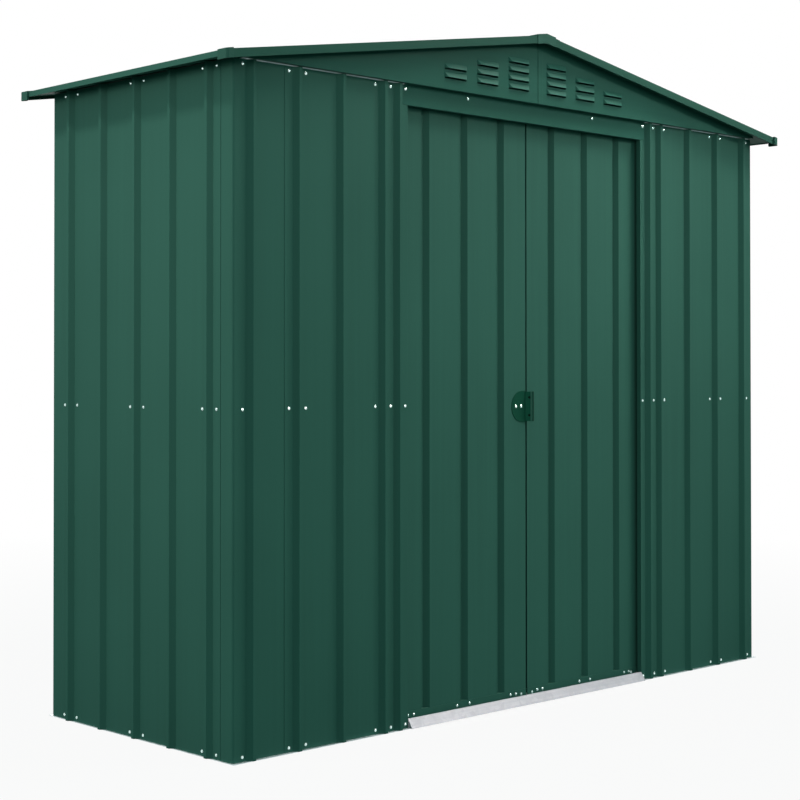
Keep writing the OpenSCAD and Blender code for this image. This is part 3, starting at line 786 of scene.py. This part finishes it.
# Roof screws: how many pitches lie on each side of the middle, and sizes in metres
ROOF_PITCHES = 2
ROOF_PITCH = 0.153
ROOF_EDGE = 0.018


class SHED_OT_roof_screws(Operator):
    """Drive the screws along the ridge cap and the eaves"""

    bl_idname = "shed.roof_screws"
    bl_label = "Roof Screws"

    def execute(self, context):
        places = []
        for side in (-1, 1):
            for k in range(-ROOF_PITCHES, ROOF_PITCHES + 1):
                for edge in (RIDGE_HIGH, EAVE_HIGH):
                    places.append(((side * (edge.x - ROOF_EDGE), k * ROOF_PITCH, edge.z), UPWARD))
        drive_screws("roof_screws", places)
        return {"FINISHED"}


# The floor, in metres: its size, where it fades to white, and the soft edges of its matt part
FLOOR_R = 40.0
FLOOR_SIDES = 96
NEAR_R = 1.6
FAR_R = 5.0
WALL_EDGE = 0.04
SILL_INSET = 0.003
# The share of white near the shed, and the grain of the floor in waves to the metre
NEAR_WHITE = 0.94
SPECK_WAVES = 30.0
# Each lamp's name, watts, width and height, place, the point that it faces and its spread in degrees
LIGHTS = (
    ("front_top_light", 63, (0.8, 0.8), (0.5, -1.6, 4.9), (0.0, -0.4, 1.2), 180),
    ("right_top_light", 17.5, (0.9, 0.9), (2.6, -2.0, 4.6), (0.4, -0.4, 1.9), 60),
    ("front_right_light", 9, (0.8, 0.8), (3.4, -4.6, 3.2), (0.7, -0.4, 1.5), 40),
    ("front_left_light", 8, (1.8, 1.8), (-4.2, -4.4, 2.6), (-0.6, -0.4, 1.5), 50),
    ("side_top_light", 10.5, (0.4, 0.4), (-2.8, 0.6, 4.4), (-1.13, -0.05, 1.0), 60),
    ("side_light", 9.5, (1.2, 1.2), (-4.8, 1.2, 2.2), (-1.13, -0.2, 1.3), 60),
    ("back_light", 45, (2.0, 2.0), (0.6, 5.0, 1.9), (0.0, 0.4, 1.1), 100),
    ("right_side_light", 14, (1.6, 1.6), (5.0, 0.3, 2.6), (1.13, 0.0, 1.0), 70),
)
# Colours of the lamps, the even light and the background
LAMP_TONE = (1.0, 0.81, 0.78)
SKY_TONE = (0.55, 0.96, 0.97, 1.0)
WHITE = (1.0, 1.0, 1.0, 1.0)
# Width of the camera's sensor, in millimetres
SENSOR_W = 36.0


def seen_rays(tree):
    """One for rays from the camera, from a mirror or through glass, and nought for the rest."""
    path = add(tree, "ShaderNodeLightPath").outputs
    both = worked(tree, "MAXIMUM", path["Is Camera Ray"], path["Is Glossy Ray"])
    return worked(tree, "MAXIMUM", both, path["Is Transmission Ray"])


def indoors(tree, place):
    """One on the floor within the walls and under the sill ramp, and nought elsewhere."""
    sides = from_middle(tree, place)
    depth = add(tree, "ShaderNodeSeparateXYZ", {"Vector": place}).outputs["Y"]
    in_x = ranged(tree, sides["X"], -CORNER_X - WALL_EDGE, -CORNER_X, 1.0, 0.0)
    in_y = ranged(tree, sides["Y"], -FRONT_Y - WALL_EDGE, -FRONT_Y, 1.0, 0.0)
    under_x = ranged(tree, sides["X"], SILL_HIGH.x - SILL_INSET, SILL_HIGH.x, 1.0, 0.0)
    under_y = ranged(tree, depth, SILL_LOW.y + SILL_INSET, SILL_LOW.y + 2 * SILL_INSET, 0.0, 1.0)
    front = ranged(tree, depth, FRONT_Y, FRONT_Y + WALL_EDGE, 1.0, 0.0)
    walls = worked(tree, "MULTIPLY", in_x, in_y)
    sill = worked(tree, "MULTIPLY", worked(tree, "MULTIPLY", under_x, under_y), front)
    return worked(tree, "MAXIMUM", walls, sill)


def floor_material(colour):
    """A pale floor with the shed's soft shadow, white far away and matt within the walls."""
    made, tree = new_material("studio_floor")
    place = object_place(tree)
    base = linear(colour)
    fade = ranged(tree, measured(tree, "LENGTH", place), NEAR_R, FAR_R, NEAR_WHITE, 1.0)
    speck = grain(tree, place, SPECK_WAVES, 3.0)
    tone = blended(tree, speck, tinted(base, 0.98), tinted(base, 1.02))
    matt = add(tree, "ShaderNodeBsdfDiffuse", {"Color": tone})
    white = add(tree, "ShaderNodeEmission", {"Color": WHITE, "Strength": 1.0})
    open_air = worked(tree, "SUBTRACT", 1.0, indoors(tree, place))
    share = worked(tree, "MULTIPLY", worked(tree, "MULTIPLY", fade, open_air), seen_rays(tree))
    mixed = add(tree, "ShaderNodeMixShader", {0: share, 1: matt.outputs[0], 2: white.outputs[0]})
    shown(tree, mixed)
    return made


def studio_world(strength):
    """Even soft light from all round, seen as white."""
    world = bpy.data.worlds.new("studio_world")
    world.use_nodes = True
    tree = world.node_tree
    tree.nodes.clear()
    soft = add(tree, "ShaderNodeBackground", {"Color": SKY_TONE, "Strength": strength})
    white = add(tree, "ShaderNodeBackground", {"Color": WHITE, "Strength": 1.0})
    mixed = add(tree, "ShaderNodeMixShader", {0: seen_rays(tree), 1: soft.outputs[0], 2: white.outputs[0]})
    add(tree, "ShaderNodeOutputWorld", {"Surface": mixed.outputs[0]})
    return world


def soft_light(name, watts, size, place, target, spread):
    """Hangs a flat oblong lamp that faces a point."""
    lamp = bpy.data.lights.new(name, "AREA")
    lamp.energy = watts
    lamp.color = LAMP_TONE
    lamp.shape = "RECTANGLE"
    lamp.size, lamp.size_y = size
    lamp.spread = math.radians(spread)
    stand = bpy.data.objects.new(name, lamp)
    stand.location = place
    stand.rotation_euler = (Vector(target) - Vector(place)).to_track_quat("-Z", "Y").to_euler()
    bpy.context.scene.collection.objects.link(stand)


def photo_camera(studio):
    """The camera at the photograph's place and angle."""
    lens = bpy.data.cameras.new("photo_camera")
    lens.lens = studio.lens
    lens.sensor_width = SENSOR_W
    lens.shift_x, lens.shift_y = studio.shift
    camera = bpy.data.objects.new("photo_camera", lens)
    camera.location = studio.place
    camera.rotation_euler = (math.pi / 2 + studio.tilt, 0.0, -studio.turn)
    bpy.context.scene.collection.objects.link(camera)
    return camera


class SHED_OT_studio(Operator):
    """Set the floor, the light and the camera"""

    bl_idname = "shed.studio"
    bl_label = "Set Studio"

    def execute(self, context):
        scene, studio = context.scene, context.scene.shed_studio
        work = bmesh.new()
        bmesh.ops.create_circle(work, cap_ends=True, segments=FLOOR_SIDES, radius=FLOOR_R)
        floor = new_object("studio_floor", work, floor_material(studio.floor_tone))
        scene.world = studio_world(studio.sky)
        for name, watts, *rest in LIGHTS:
            soft_light(name, watts * studio.light, *rest)
        scene.camera = photo_camera(studio)
        scene.view_settings.view_transform = "Standard"
        return {"FINISHED"}


STEPS = (SHED_OT_walls, SHED_OT_doors, SHED_OT_roof, SHED_OT_rails, SHED_OT_gable_seals,
         SHED_OT_wall_screws, SHED_OT_door_screws, SHED_OT_roof_screws, SHED_OT_studio)
GROUPS = {"shed_finish": ShedFinish, "shed_screws": ShedScrews, "shed_studio": ShedStudio}


class SHED_PT_panel(Panel):
    """The shed's finishes, screws and studio"""

    bl_idname = "SHED_PT_panel"
    bl_label = "Metal Shed"
    bl_space_type = "VIEW_3D"
    bl_region_type = "UI"
    bl_category = "Shed"

    def draw(self, context):
        layout = self.layout
        for name, group in GROUPS.items():
            box = layout.box()
            for setting in group.__annotations__:
                box.prop(getattr(context.scene, name), setting)
        for step in STEPS:
            layout.operator(step.bl_idname)


def register():
    """Adds the classes and the scene's settings."""
    for kind in (*GROUPS.values(), *STEPS, SHED_PT_panel):
        bpy.utils.register_class(kind)
    for name, group in GROUPS.items():
        setattr(bpy.types.Scene, name, PointerProperty(type=group))


def unregister():
    """Takes the settings and classes away again."""
    for name in GROUPS:
        delattr(bpy.types.Scene, name)
    for kind in (SHED_PT_panel, *reversed(STEPS), *reversed(GROUPS.values())):
        bpy.utils.unregister_class(kind)


def main():
    """Builds the looks in order."""
    register()
    for step in STEPS:
        group, name = step.bl_idname.split(".")
        getattr(getattr(bpy.ops, group), name)()


if __name__ == "__main__":
    main()
